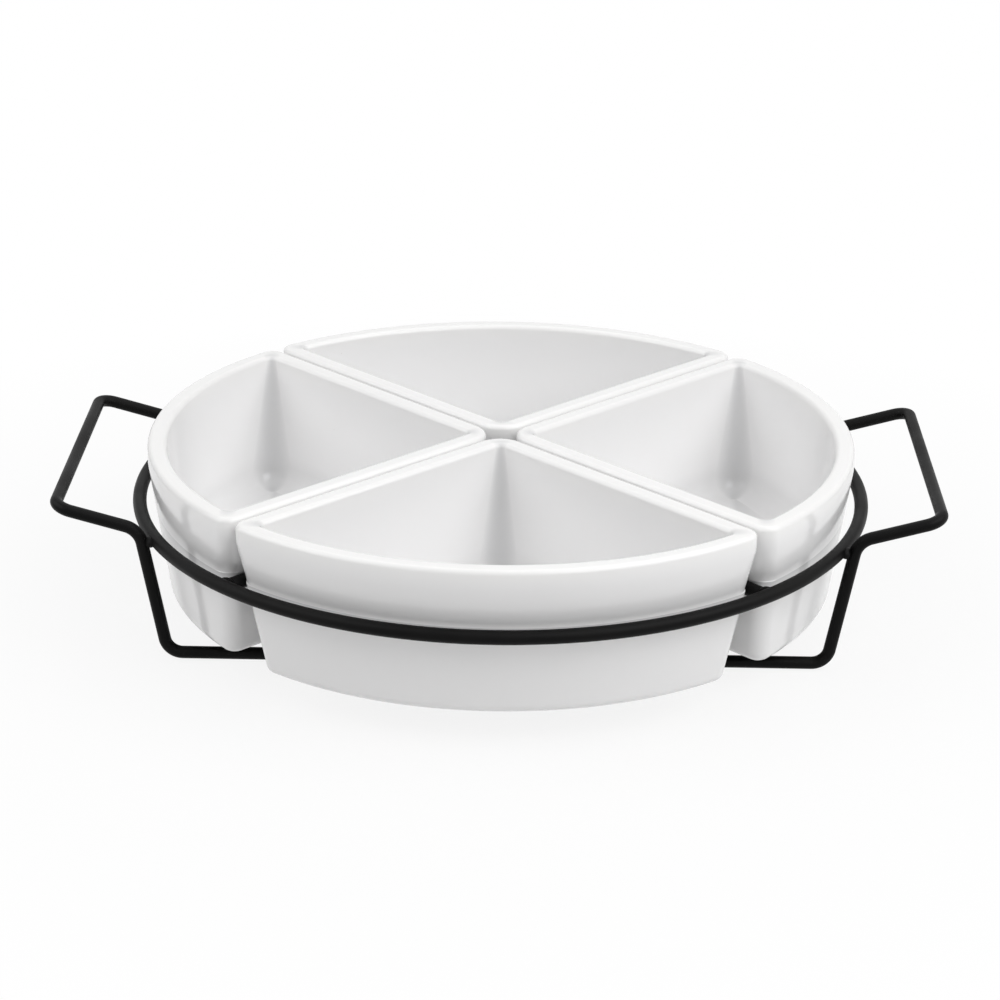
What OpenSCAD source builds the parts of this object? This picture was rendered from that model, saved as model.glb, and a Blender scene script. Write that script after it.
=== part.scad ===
// Chip and dip server: four quarter-round dishes that hang in a wire rack.
// Millimetres, +Z up. The origin lies on the table under the rack's centre,
// and the two handles stand out along X.

/* [Wire] */
// Diameter of the hoop and the crossing wires
wire_d = 5; // [4:0.5:6]
// Diameter of the two bent wires that form the runners, legs and handles
frame_wire_d = 4.5; // [3.5:0.5:6]
// Space left between two wires that a weld joins
weld_gap = 0.1; // [0.05:0.05:0.3]
// How far a weld bead stands out from the wires that it joins
weld_bulge = 0.8; // [0.5:0.1:1.2]
// Height up to which the beads on the runners are ground away
weld_ground = 0.5; // [0.3:0.1:1]

/* [Hoop] */
// Radius of the hoop, to the middle of its wire
hoop_r = 133; // [120:1:150]
// Height of the hoop above the table, to the middle of its wire
hoop_z = 45.5; // [40:0.5:60]
// How far the crossing wires lie under the hoop, middle to middle
cross_drop = 1.3; // [0:0.1:1.5]

/* [Handles and legs] */
// Distance from the middle plane to each leg, runner and handle side
leg_offset = 56; // [40:1:70]
// How far the legs lean in towards the table, in degrees
leg_lean = 10.5; // [0:0.5:12]
// Slope of the handles, in degrees
handle_rise = 15.5; // [10:0.5:40]
// Distance from the hoop out to a handle's grip bar, middle to middle
handle_reach = 23.5; // [20:0.5:40]
// Radius of the bend from runner to leg, to the middle of the wire
foot_bend_r = 6.5; // [6:0.5:14]
// Radius of the bend from leg to handle, where the wire passes the hoop
shoulder_bend_r = 8; // [6:0.5:12]
// Angle below level at which that bend touches the hoop
shoulder_touch = 10; // [10:1:30]
// Radius of the two bends in a handle
grip_bend_r = 6; // [5:0.5:10]

/* [Dish] */
// Space between the rims of the dishes and the inside of the hoop
hoop_clearance = 1; // [0.5:0.25:4]
// Space between the rims of two dishes
rim_gap = 2; // [1:0.25:3]
// Space between a dish's collar and the wires that it hangs on
seat_gap = 0.3; // [0.2:0.05:0.6]
// Height of the upright band under the rim
band_h = 6; // [4:0.5:8]
// Height of the collar, from its underside to the rim
collar_h = 21.4; // [18:0.2:26]
// Height of the body under the collar
body_h = 34; // [28:0.5:38]
// Slope of the outside under the band, in degrees
wall_taper = 8; // [6.5:0.25:9]
// Slope of the collar's two straight sides, in degrees
collar_taper = 2; // [0:0.25:2.5]
// Thickness of the wall at the rim
rim_wall = 7; // [6:0.5:9]
// Slope of the inside, in degrees
inner_taper = 7; // [4:0.5:10]
// Thickness of the floor
floor_t = 6; // [4:0.5:9]
// Height of the hollow inside the foot
foot_h = 1.2; // [0.5:0.1:2]
// Width of the foot that the dish stands on
foot_w = 5; // [3:0.5:8]

/* [Dish rounding] */
// Radius of the two outer upright corners
corner_r = 5.5; // [5.5:0.5:14]
// Radius of the upright corner at the centre of the set
apex_r = 10; // [8:0.5:14]
// Radius of the inner upright corners at the rim
inner_rim_corner_r = 2.6; // [2.2:0.1:5]
// Radius of the inner upright corners at the floor
inner_floor_corner_r = 12; // [11:0.5:18]
// Radius between the inside wall and the floor
floor_r = 8; // [4:0.5:10]
// Radius of the body's bottom edge
bottom_edge_r = 4; // [2:0.5:5]
// Radius of the rim's outer edge
rim_outer_r = 1.8; // [1.5:0.1:3]
// Radius of the rim's inner edge
rim_inner_r = 2; // [1:0.1:2.2]
// Radius of the collar's lower edge
ledge_edge_r = 0.7; // [0.4:0.1:0.8]
// Radius in the corner between collar and body
ledge_fillet_r = 0.5; // [0.3:0.1:0.5]

/* [Hidden] */

coat_black = [0.09, 0.09, 0.09];
glaze_white = [0.95, 0.95, 0.94];
$fn = 64;

// Heights and radii that follow from the sizes above
wire_r = wire_d / 2;
frame_wire_r = frame_wire_d / 2;
runner_z = frame_wire_r;
cross_z = hoop_z - cross_drop;
dish_h = body_h + collar_h;
rim_r = hoop_r - wire_r - hoop_clearance;
cross_end_r = hoop_r - wire_r - weld_gap;
cross_start_r = wire_r + weld_gap;
weld_r = wire_r + weld_bulge;
runner_weld_r = frame_wire_r + weld_bulge;

// Turn of the front, left, right and rear dish, and half the sector that each has
dish_turns = [-90, 180, 0, 90];
half_sector = 180 / len(dish_turns);

// The collar's rounded lower edges sit on the shoulders of the crossing wires
collar_in = (collar_h - band_h) * tan(collar_taper);
ledge_centre_in = collar_in + ledge_edge_r;
seat_reach = wire_r + seat_gap + ledge_edge_r;
seat_side = rim_gap / 2 + ledge_centre_in;
collar_z = cross_z + sqrt(seat_reach * seat_reach - seat_side * seat_side) - ledge_edge_r;
dish_z = collar_z - body_h;

// The ledge under the collar falls a hair, so that no two levels coincide
ledge_fall = 0.1;
// How much rounder the collar's corners get for each millimetre of ledge
ledge_fade = 2;

// Steps round the hoop, and along each rounded stretch of a dish
hoop_steps = 240;
arc_steps = 20;
corner_steps = 5;
round_steps = 4;
// A bend is a hair thicker than the straight wire, and the straight lengths run
// a hair into it, so that the two join as one solid
bend_swell = 0.01;
bend_lap = 0.02;

function unit(v) = v / norm(v);

// Direction at an angle above the table, in the upright plane of a leg
function slope(angle) = [cos(angle), sin(angle)];

// The shoulder is the bend from leg to handle. It passes the hoop's outer side and
// stays a weld gap away from it. The touch goes from the hoop's middle to the bend's.
hoop_at_leg = [sqrt(hoop_r * hoop_r - leg_offset * leg_offset), hoop_z];
hoop_slant = hoop_at_leg.x / hoop_r;
touch_dir = slope(-shoulder_touch);
touch_off = (wire_r + frame_wire_r + weld_gap) / norm([touch_dir.x * hoop_slant, touch_dir.y]);
leg_angle = 90 - leg_lean;
shoulder_turn = leg_angle - handle_rise;
shoulder_dir = unit(slope(handle_rise) - slope(leg_angle));
shoulder_centre = hoop_at_leg + touch_dir * (touch_off + shoulder_bend_r);
shoulder_corner = shoulder_centre - shoulder_dir * shoulder_bend_r / cos(shoulder_turn / 2);
leg_length = (shoulder_corner.y - runner_z) / sin(leg_angle);
foot_corner = shoulder_corner - leg_length * slope(leg_angle);
side_length = (hoop_r + handle_reach - shoulder_corner.x) / cos(handle_rise);

// Distance from a corner to the start of its bend
function bend_reach(radius, turn) = radius * tan(turn / 2);
foot_reach = bend_reach(foot_bend_r, leg_angle);
shoulder_reach = bend_reach(shoulder_bend_r, shoulder_turn);
grip_reach = bend_reach(grip_bend_r, 90);

// One frame wire, from the front runner's end to the rear one's. Each run is a
// straight length and the bend after it: length, roll, bend radius, turn.
runner_run = foot_corner.x - weld_gap / 2 - foot_reach;
leg_run = leg_length - foot_reach - shoulder_reach;
side_run = side_length - shoulder_reach - grip_reach;
frame_runs = [
    [runner_run, 0, foot_bend_r, leg_angle],
    [leg_run, 180, shoulder_bend_r, shoulder_turn],
    [side_run, 90, grip_bend_r, 90],
    [2 * (leg_offset - grip_reach), 0, grip_bend_r, 90],
    [side_run, -90, shoulder_bend_r, shoulder_turn],
    [leg_run, 180, foot_bend_r, leg_angle],
    [runner_run],
];

// Points along an arc, both ends included
function arc(centre, radius, from, to, steps) =
    [for (i = [0:steps])
        let (a = from + (to - from) * i / steps)
        centre + radius * [cos(a), sin(a)]];

// Outline of a dish that points along +X, set in from the rim's outline at its
// straight sides and at its outer arc. Its apex and its two outer corners are round.
function dish_outline(side_in, outer_in, corner, apex) =
    let (
        side = rim_gap / 2 + side_in,
        outer = rim_r - outer_in,
        bend = half_sector - asin((side + corner) / (outer - corner)),
        apex_centre = [(side + apex) / sin(half_sector), 0],
        corner_low = (outer - corner) * [cos(bend), -sin(bend)],
        corner_high = (outer - corner) * [cos(bend), sin(bend)],
        rim = arc([0, 0], outer, -bend, bend, arc_steps)
    )
    concat(
        arc(apex_centre, apex, 90 + half_sector, 270 - half_sector, corner_steps),
        arc(corner_low, corner, -90 - half_sector, -bend, corner_steps),
        [for (i = [1:arc_steps - 1]) rim[i]],
        arc(corner_high, corner, bend, 90 + half_sector, corner_steps)
    );

// A station is a level of the dish's skin: height, inset of the straight sides,
// inset of the outer arc, corner radius, apex radius.
function level(z, inset, corner, apex) = [z, inset, inset, corner, apex];

// Rounded edge all round. Its outlines stay parallel, so its corners shrink as it goes in.
function rounded(centre_z, centre_in, radius, from, to, edge_in, corner, apex) =
    [for (i = [0:round_steps])
        let (
            a = from + (to - from) * i / round_steps,
            inset = centre_in + radius * cos(a)
        )
        level(centre_z + radius * sin(a), inset, corner - (inset - edge_in), apex - (inset - edge_in))];

// Rounded stretch of the ledge, which only the straight sides have
function ledge(centre_z, centre_in, radius, from, to) =
    [for (i = [0:round_steps])
        let (a = from + (to - from) * i / round_steps)
        side_station(centre_z + radius * sin(a), centre_in + radius * cos(a))];

// Station whose straight sides are set in less than its outer arc. Its corners are
// rounder, so that the ledge fades out round them.
function side_station(z, side_in) =
    let (outer_in = wall_inset(z))
    [z, side_in, outer_in, corner_r + ledge_fade * (outer_in - side_in), apex_r];

function wall_inset(z) = (dish_h - band_h - z) * tan(wall_taper);
function inner_inset(z) = rim_wall + (dish_h - rim_inner_r - z) * tan(inner_taper);

bottom_in = wall_inset(bottom_edge_r);
foot_in = bottom_in + bottom_edge_r + foot_w;
hollow_top = dish_h - rim_inner_r;
fillet_top = floor_t + floor_r;
fillet_in = inner_inset(fillet_top);
ledge_fillet_z = body_h - ledge_fall - ledge_fillet_r;
ledge_fillet_in = wall_inset(ledge_fillet_z) - ledge_fillet_r;

// The dish's skin as one run of stations: from the hollow under its foot, up the
// outside, over the rim and down the inside to the floor
dish_stations = concat(
    [
        level(foot_h, foot_in + foot_h, corner_r, apex_r),
        level(0, foot_in, corner_r, apex_r),
    ],
    rounded(bottom_edge_r, bottom_in + bottom_edge_r, bottom_edge_r,
        270, 180, bottom_in, corner_r, apex_r),
    ledge(ledge_fillet_z, ledge_fillet_in, ledge_fillet_r, 0, 90),
    ledge(body_h + ledge_edge_r, ledge_centre_in, ledge_edge_r, 270, 180),
    [level(dish_h - band_h, 0, corner_r, apex_r)],
    rounded(dish_h - rim_outer_r, rim_outer_r, rim_outer_r,
        180, 90, 0, corner_r, apex_r),
    rounded(hollow_top, rim_wall - rim_inner_r, rim_inner_r,
        90, 0, rim_wall, inner_rim_corner_r, inner_rim_corner_r),
    rounded(fillet_top, fillet_in + floor_r, floor_r,
        180, 270, fillet_in, inner_floor_corner_r, inner_floor_corner_r)
);

// Closed skin through the stations' outlines
module lofted(stations) {
    outlines = [for (s = stations) dish_outline(s[1], s[2], s[3], s[4])];
    n = len(outlines[0]);
    levels = len(stations);
    points = [for (k = [0:levels - 1]) for (p = outlines[k]) [p.x, p.y, stations[k][0]]];
    sides = [for (k = [0:levels - 2]) for (j = [0:n - 1])
        let (a = k * n + j, b = k * n + (j + 1) % n)
        each [[a, a + n, b + n], [a, b + n, b]]];
    first = [for (j = [0:n - 1]) j];
    last = [for (j = [0:n - 1]) levels * n - 1 - j];
    polyhedron(points, concat(sides, [first, last]));
}

module dish(turn) {
    color(glaze_white)
        rotate([0, 0, turn])
            translate([0, 0, dish_z])
                lofted(dish_stations);
}

// Round bend of a frame wire that runs along +Z, towards +X
module wire_bend(radius, turn) {
    translate([radius, 0, 0])
        rotate([90, 0, 180])
            rotate_extrude(angle = turn)
                translate([radius, 0])
                    circle(r = frame_wire_r + bend_swell);
}

// Moves what follows to the end of such a bend
module after_bend(radius, turn) {
    translate([radius, 0, 0])
        rotate([0, turn, 0])
            translate([-radius, 0, 0])
                children();
}

// Wire through its runs from the k-th on, starting along +Z
module bent_wire(runs, k = 0) {
    last = len(runs) - 1;
    length = runs[k][0];
    lap_before = k == 0 ? 0 : bend_lap;
    lap_after = k == last ? 0 : bend_lap;
    translate([0, 0, -lap_before])
        cylinder(h = lap_before + length + lap_after, r = frame_wire_r);
    if (k < last)
        translate([0, 0, length])
            rotate([0, 0, runs[k][1]]) {
                wire_bend(runs[k][2], runs[k][3]);
                after_bend(runs[k][2], runs[k][3]) bent_wire(runs, k + 1);
            }
}

module hoop_ring() {
    translate([0, 0, hoop_z])
        rotate_extrude($fn = hoop_steps)
            translate([hoop_r, 0])
                circle(r = wire_r);
}

module frame_wire() {
    translate([weld_gap / 2, -leg_offset, runner_z])
        rotate([0, 90, 0])
            rotate([0, 0, 180])
                bent_wire(frame_runs);
}

// Both frame wires; they mirror each other
module frame_wires() {
    frame_wire();
    mirror([1, 0, 0]) frame_wire();
}

// Crossing wire on a diagonal, between two distances from the centre
module cross_wire(turn, from, to) {
    rotate([0, 0, turn])
        translate([from, 0, cross_z])
            rotate([0, 90, 0])
                cylinder(h = to - from, r = wire_r);
}

module hoop() {
    color(coat_black) hoop_ring();
}

module cross_wire_long() {
    color(coat_black) cross_wire(half_sector, -cross_end_r, cross_end_r);
}

module cross_wire_short_left() {
    color(coat_black) cross_wire(dish_turns[3] + half_sector, cross_start_r, cross_end_r);
}

module cross_wire_short_right() {
    color(coat_black) cross_wire(dish_turns[0] + half_sector, cross_start_r, cross_end_r);
}

module frame_wire_right() {
    color(coat_black) frame_wire();
}

module frame_wire_left() {
    color(coat_black) mirror([1, 0, 0]) frame_wire();
}

// Bead where each shoulder touches the hoop
module hoop_welds() {
    bead_at = hoop_at_leg + touch_dir * touch_off / 2;
    color(coat_black)
        difference() {
            for (x = [-1, 1]) for (y = [-1, 1])
                translate([x * bead_at.x, y * leg_offset, bead_at.y])
                    sphere(r = weld_r);
            hoop_ring();
            frame_wires();
        }
}

// Bead where each crossing wire's end meets the inside of the hoop
module cross_end_welds() {
    color(coat_black)
        difference() {
            for (turn = dish_turns)
                rotate([0, 0, turn + half_sector])
                    translate([cross_end_r, 0, cross_z + cross_drop / 3])
                        sphere(r = weld_r);
            hoop_ring();
            cross_wire(half_sector, -cross_end_r, cross_end_r);
            cross_wire(dish_turns[3] + half_sector, -cross_end_r, cross_end_r);
        }
}

// Bead on each side of the long wire, where a short one meets it
module cross_centre_welds() {
    color(coat_black)
        difference() {
            for (side = [-1, 1])
                rotate([0, 0, dish_turns[3] + half_sector])
                    translate([side * (cross_start_r + weld_bulge / 2), 0, cross_z])
                        sphere(r = weld_r);
            cross_wire(half_sector, -cross_end_r, cross_end_r);
            cross_wire(dish_turns[3] + half_sector, cross_start_r, cross_end_r);
            cross_wire(dish_turns[3] + half_sector, -cross_end_r, -cross_start_r);
        }
}

// Bead over each butt joint in the runners, ground away underneath so that the
// runners alone touch the table
module runner_welds() {
    color(coat_black)
        for (y = [-1, 1])
            difference() {
                translate([0, y * leg_offset, runner_z])
                    sphere(r = runner_weld_r);
                translate([-runner_weld_r, y * leg_offset, runner_z])
                    rotate([0, 90, 0])
                        cylinder(h = 2 * runner_weld_r, r = frame_wire_r);
                translate([0, y * leg_offset, weld_ground - runner_weld_r])
                    cube(2 * runner_weld_r, center = true);
            }
}

module dish_front() {
    dish(dish_turns[0]);
}

module dish_left() {
    dish(dish_turns[1]);
}

module dish_right() {
    dish(dish_turns[2]);
}

module dish_rear() {
    dish(dish_turns[3]);
}

hoop();
cross_wire_long();
cross_wire_short_left();
cross_wire_short_right();
frame_wire_left();
frame_wire_right();
hoop_welds();
cross_end_welds();
cross_centre_welds();
runner_welds();
dish_front();
dish_left();
dish_right();
dish_rear();
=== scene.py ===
"""Chip and dip server: four glazed quarter dishes that hang in a coated wire rack.

Every length is in metres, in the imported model's own frame: +X towards the right handle,
+Y towards the rear dish, +Z up, with the origin on the table under the rack's centre.
"""

import logging
import math
from collections.abc import Iterable, Iterator
from dataclasses import asdict, dataclass, field
from enum import Enum

import bmesh
import bpy
from bmesh.types import BMEdge, BMesh, BMVert
from mathutils import Matrix, Vector, noise


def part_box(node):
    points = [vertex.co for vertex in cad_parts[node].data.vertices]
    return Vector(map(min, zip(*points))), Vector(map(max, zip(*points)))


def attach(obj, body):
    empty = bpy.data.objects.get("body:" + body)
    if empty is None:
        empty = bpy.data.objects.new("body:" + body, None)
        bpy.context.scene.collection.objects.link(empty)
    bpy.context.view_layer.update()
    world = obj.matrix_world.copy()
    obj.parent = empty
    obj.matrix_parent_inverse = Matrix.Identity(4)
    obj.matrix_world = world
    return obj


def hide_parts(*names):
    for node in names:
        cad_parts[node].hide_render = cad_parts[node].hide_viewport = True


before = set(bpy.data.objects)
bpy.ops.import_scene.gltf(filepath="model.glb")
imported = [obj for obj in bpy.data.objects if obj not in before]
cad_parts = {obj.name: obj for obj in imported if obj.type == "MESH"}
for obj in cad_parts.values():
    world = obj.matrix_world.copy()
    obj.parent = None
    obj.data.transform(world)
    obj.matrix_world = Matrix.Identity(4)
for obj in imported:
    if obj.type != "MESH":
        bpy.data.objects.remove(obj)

Colour = tuple[float, float, float, float]
Socket = bpy.types.NodeSocket

LOG = logging.getLogger("chip_and_dip_server")
MM = 0.001
UP = Vector((0.0, 0.0, 1.0))
HALF_SECTOR = math.radians(45)
QUARTER = math.radians(90)
SHARP_ANGLE = math.radians(50)
WHITE: Colour = (1.0, 1.0, 1.0, 1.0)
THIN_LAYER = "glaze_thin"
# The layer below holds painted shade in hollows and corners, along with pooled glaze.
POOL_AND_SHADE_LAYER = "glaze_pool_and_shade"
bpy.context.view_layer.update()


class Place(Enum):
    """Where a dish hangs: its turn about +Z from the right-hand place, in degrees."""

    RIGHT = 0
    REAR = 90
    LEFT = 180
    FRONT = 270


class Zone(Enum):
    """Which finish a stretch of a dish's skin has, as its material slot."""

    GLAZE = 0
    BARE_CLAY = 1


class BeadNoise(Enum):
    """Where in the noise each group of weld beads takes its lumps from."""

    HOOP = 0.0
    CROSS_ENDS = 5.0
    CROSS_CENTRE = 11.0
    RUNNERS = 17.0


# Node trees


class Board:
    """Adds nodes to one node tree and joins them."""

    def __init__(self, tree: bpy.types.NodeTree) -> None:
        """Takes the tree to work on.

        Args:
            tree: A material's, the world's or a group's node tree.
        """
        self.tree = tree

    def feed(self, node: bpy.types.Node, inputs: dict) -> None:
        """Sets or joins some of a node's inputs.

        Args:
            node: The node.
            inputs: For each input, by name or number, a plain value or the socket that feeds it.
        """
        for key, value in inputs.items():
            if isinstance(value, Socket):
                self.tree.links.new(value, node.inputs[key])
            else:
                node.inputs[key].default_value = value

    def add(self, kind: str, inputs: dict | None = None, **settings: object) -> bpy.types.Node:
        """Adds one node.

        Args:
            kind: The node's type, such as "ShaderNodeMath".
            inputs: Its inputs, as for feed.
            **settings: The node's own properties.

        Returns:
            The new node.
        """
        node = self.tree.nodes.new(kind)
        for name, value in settings.items():
            setattr(node, name, value)
        self.feed(node, inputs or {})
        return node

    def math(
        self, operation: str, first: Socket | float, second: Socket | float, clamp: bool = False
    ) -> Socket:
        """Adds a Math node.

        Args:
            operation: Its operation, such as "MULTIPLY".
            first: Its first value or socket.
            second: Its second value or socket.
            clamp: Whether the result stays between 0 and 1.

        Returns:
            The node's result.
        """
        node = self.add("ShaderNodeMath", {0: first, 1: second}, operation=operation, use_clamp=clamp)
        return node.outputs[0]

    def blend(self, share: Socket, first: Socket | Colour, second: Socket | Colour) -> Socket:
        """Mixes two colours.

        Args:
            share: How much of the second colour there is.
            first: The first colour or socket.
            second: The second colour or socket.

        Returns:
            The mixed colour.
        """
        node = self.add("ShaderNodeMix", data_type="RGBA")
        colour_a, colour_b = (i for i, socket in enumerate(node.inputs) if socket.type == "RGBA")
        self.feed(node, {0: share, colour_a: first, colour_b: second})
        return next(socket for socket in node.outputs if socket.type == "RGBA")

    def ramp(self, mask: Socket, start: float, spread: float) -> Socket:
        """Gives a value that rises from a start by a spread as the mask goes from 0 to 1."""
        return self.math("ADD", self.math("MULTIPLY", mask, spread), start)

    def relief(self, height: Socket, strength: float = 1.0) -> Socket:
        """Turns a height in metres into the surface's normal."""
        bump = self.add("ShaderNodeBump", {"Height": height, "Distance": 1.0, "Strength": strength})
        return bump.outputs["Normal"]


def new_group(
    name: str, inputs: dict[str, float], output: str
) -> tuple[Board, bpy.types.bpy_prop_collection, bpy.types.Node]:
    """Starts a shared node group that takes plain numbers and gives one.

    Args:
        name: The group's name.
        inputs: For each input its starting value.
        output: The output's name.

    Returns:
        The group's board, the sockets that bring its inputs, and its output node.
    """
    tree = bpy.data.node_groups.new(name, "ShaderNodeTree")
    kind = "NodeSocketFloat"
    for label, start in inputs.items():
        tree.interface.new_socket(label, in_out="INPUT", socket_type=kind).default_value = start
    tree.interface.new_socket(output, in_out="OUTPUT", socket_type=kind)
    board = Board(tree)
    return board, board.add("NodeGroupInput").outputs, board.add("NodeGroupOutput")


@dataclass(frozen=True)
class Ripple:
    """Low waves in a surface. Their depth is in metres."""

    scale: float
    detail: float
    depth: float


@dataclass(frozen=True)
class Drift:
    """Slow change between two values across a surface."""

    scale: float
    contrast: float


@dataclass(frozen=True)
class Specks:
    """Rare small round specks: one cell may hold one, and a share of the cells do."""

    scale: float
    radius: float
    share: float


class SharedEffects:
    """The effects that more than one finish uses, each as one node group."""

    NOISE_MIDDLE = 0.5
    DRIFT_DETAIL = 3.0
    SPECK_CORE = 0.5

    def __init__(self) -> None:
        """Builds the three groups."""
        self.groups = {Ripple: self._ripple(), Drift: self._drift(), Specks: self._specks()}

    def place(self, board: Board, effect: Ripple | Drift | Specks) -> Socket:
        """Places an effect's group in a tree and gives it the effect's values.

        Args:
            board: The tree's board.
            effect: The effect. Its fields are named as the group's inputs are.

        Returns:
            The group's output.
        """
        values = {name.capitalize(): value for name, value in asdict(effect).items()}
        group = board.add("ShaderNodeGroup", values, node_tree=self.groups[type(effect)])
        return group.outputs[0]

    def _ripple(self) -> bpy.types.NodeTree:
        """Builds the group for waves. It gives a height in metres."""
        board, given, out = new_group(
            "surface_ripple", {"Scale": 100.0, "Detail": 1.0, "Depth": 0.00001}, "Height"
        )
        place = board.add("ShaderNodeTexCoord").outputs["Object"]
        waves = board.add(
            "ShaderNodeTexNoise",
            {"Vector": place, "Scale": given["Scale"], "Detail": given["Detail"]},
        )
        centred = board.math("SUBTRACT", waves.outputs[0], self.NOISE_MIDDLE)
        board.feed(out, {"Height": board.math("MULTIPLY", centred, given["Depth"])})
        return board.tree

    def _drift(self) -> bpy.types.NodeTree:
        """Builds the group for slow change. It gives a mask from 0 to 1."""
        board, given, out = new_group("tone_drift", {"Scale": 20.0, "Contrast": 2.0}, "Mask")
        place = board.add("ShaderNodeTexCoord").outputs["Object"]
        cloud = board.add(
            "ShaderNodeTexNoise",
            {"Vector": place, "Scale": given["Scale"], "Detail": self.DRIFT_DETAIL},
        )
        centred = board.math("SUBTRACT", cloud.outputs[0], self.NOISE_MIDDLE)
        spread = board.math("MULTIPLY", centred, given["Contrast"])
        board.feed(out, {"Mask": board.math("ADD", spread, self.NOISE_MIDDLE, clamp=True)})
        return board.tree

    def _specks(self) -> bpy.types.NodeTree:
        """Builds the group for specks. It gives a mask with soft edges."""
        board, given, out = new_group(
            "fine_specks", {"Scale": 300.0, "Radius": 0.1, "Share": 0.2}, "Mask"
        )
        place = board.add("ShaderNodeTexCoord").outputs["Object"]
        cells = board.add("ShaderNodeTexVoronoi", {"Vector": place, "Scale": given["Scale"]})
        near = board.add(
            "ShaderNodeMapRange",
            {
                "Value": cells.outputs["Distance"],
                "From Min": given["Radius"],
                "From Max": board.math("MULTIPLY", given["Radius"], self.SPECK_CORE),
            },
        )
        lots = board.add("ShaderNodeSeparateColor", {0: cells.outputs["Color"]})
        chosen = board.math("LESS_THAN", lots.outputs[0], given["Share"])
        board.feed(out, {"Mask": board.math("MULTIPLY", near.outputs[0], chosen, clamp=True)})
        return board.tree


# Finishes


def new_material(name: str) -> tuple[bpy.types.Material, Board, bpy.types.Node]:
    """Starts a material with one Principled shader.

    Args:
        name: The material's name.

    Returns:
        The material, its board and its Principled node.
    """
    material = bpy.data.materials.new(name)
    material.use_nodes = True
    board = Board(material.node_tree)
    shader = material.node_tree.nodes["Principled BSDF"]
    return material, board, shader


@dataclass(frozen=True)
class WhiteGlaze:
    """Glossy white glaze. It thins over edges, and in hollows and corners it turns darker: painted
    shade, which also stands for glaze that pools there.
    """

    colour: Colour = (0.86, 0.857, 0.858, 1.0)
    thin_colour: Colour = (0.87, 0.866, 0.86, 1.0)
    # Painted shade: hollows, corners and the fillet under the ledge take this darker colour, which also
    # stands for pooled glaze.
    pooled_colour: Colour = (0.64, 0.64, 0.645, 1.0)
    speck_colour: Colour = (0.45, 0.41, 0.36, 1.0)
    tone: Drift = Drift(scale=18.0, contrast=2.5)
    least_thinning: float = 0.3
    specks: Specks = Specks(scale=90.0, radius=0.022, share=0.12)
    speck_strength: float = 0.35
    smear: Drift = Drift(scale=55.0, contrast=2.0)
    roughness: float = 0.11
    roughness_spread: float = 0.07
    ripple: Ripple = Ripple(scale=70.0, detail=0.5, depth=0.00003)
    peel: Ripple = Ripple(scale=420.0, detail=1.0, depth=0.000002)
    ior: float = 1.5

    def build(self, effects: SharedEffects) -> bpy.types.Material:
        """Builds the material.

        Args:
            effects: The shared node groups.

        Returns:
            The material.
        """
        material, board, shader = new_material("white_glaze")
        thin = board.add("ShaderNodeAttribute", attribute_name=THIN_LAYER).outputs["Fac"]
        # Painted shade mask, with pooled glaze: high in hollows and corners, 0 elsewhere.
        pool = board.add("ShaderNodeAttribute", attribute_name=POOL_AND_SHADE_LAYER).outputs["Fac"]
        uneven = board.math("ADD", effects.place(board, self.tone), self.least_thinning)
        thinned = board.math("MULTIPLY", thin, uneven, clamp=True)
        speckled = board.math("MULTIPLY", effects.place(board, self.specks), self.speck_strength)
        colour = board.blend(thinned, self.colour, self.thin_colour)
        colour = board.blend(pool, colour, self.pooled_colour)
        colour = board.blend(speckled, colour, self.speck_colour)
        smear = effects.place(board, self.smear)
        height = board.math("ADD", effects.place(board, self.ripple), effects.place(board, self.peel))
        finish = {
            "Base Color": colour,
            "Roughness": board.ramp(smear, self.roughness, self.roughness_spread),
            "Normal": board.relief(height),
            "IOR": self.ior,
        }
        board.feed(shader, finish)
        return material


@dataclass(frozen=True)
class BareClay:
    """Unglazed foot: dry, fine-grained and slightly warm."""

    colour: Colour = (0.66, 0.61, 0.54, 1.0)
    rubbed_colour: Colour = (0.50, 0.46, 0.41, 1.0)
    rubbing: Drift = Drift(scale=60.0, contrast=3.0)
    roughness: float = 0.85
    grain: Ripple = Ripple(scale=1600.0, detail=3.0, depth=0.00004)

    def build(self, effects: SharedEffects) -> bpy.types.Material:
        """Builds the material.

        Args:
            effects: The shared node groups.

        Returns:
            The material.
        """
        material, board, shader = new_material("bare_clay")
        rubbed = effects.place(board, self.rubbing)
        finish = {
            "Base Color": board.blend(rubbed, self.colour, self.rubbed_colour),
            "Roughness": self.roughness,
            "Normal": board.relief(effects.place(board, self.grain)),
        }
        board.feed(shader, finish)
        return material


@dataclass(frozen=True)
class BlackCoat:
    """Satin black powder coat with a fine orange peel."""

    colour: Colour = (0.0022, 0.0022, 0.0023, 1.0)
    dusty_colour: Colour = (0.005, 0.0048, 0.0047, 1.0)
    dust: Drift = Drift(scale=45.0, contrast=3.0)
    roughness: float = 0.38
    roughness_spread: float = 0.16
    peel: Ripple = Ripple(scale=900.0, detail=1.0, depth=0.00002)
    grit: Ripple = Ripple(scale=3200.0, detail=2.0, depth=0.000004)
    relief_strength: float = 0.6
    specular: float = 0.08

    def build(self, effects: SharedEffects) -> bpy.types.Material:
        """Builds the material.

        Args:
            effects: The shared node groups.

        Returns:
            The material.
        """
        material, board, shader = new_material("black_coat")
        dusty = effects.place(board, self.dust)
        height = board.math("ADD", effects.place(board, self.peel), effects.place(board, self.grit))
        finish = {
            "Base Color": board.blend(dusty, self.colour, self.dusty_colour),
            "Roughness": board.ramp(dusty, self.roughness, self.roughness_spread),
            "Normal": board.relief(height, self.relief_strength),
            "Specular IOR Level": self.specular,
        }
        board.feed(shader, finish)
        return material


# Making pieces


def add_object(name: str, data: bpy.types.ID) -> bpy.types.Object:
    """Puts a new object with this data into the scene."""
    made = bpy.data.objects.new(name, data)
    bpy.context.scene.collection.objects.link(made)
    return made


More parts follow.
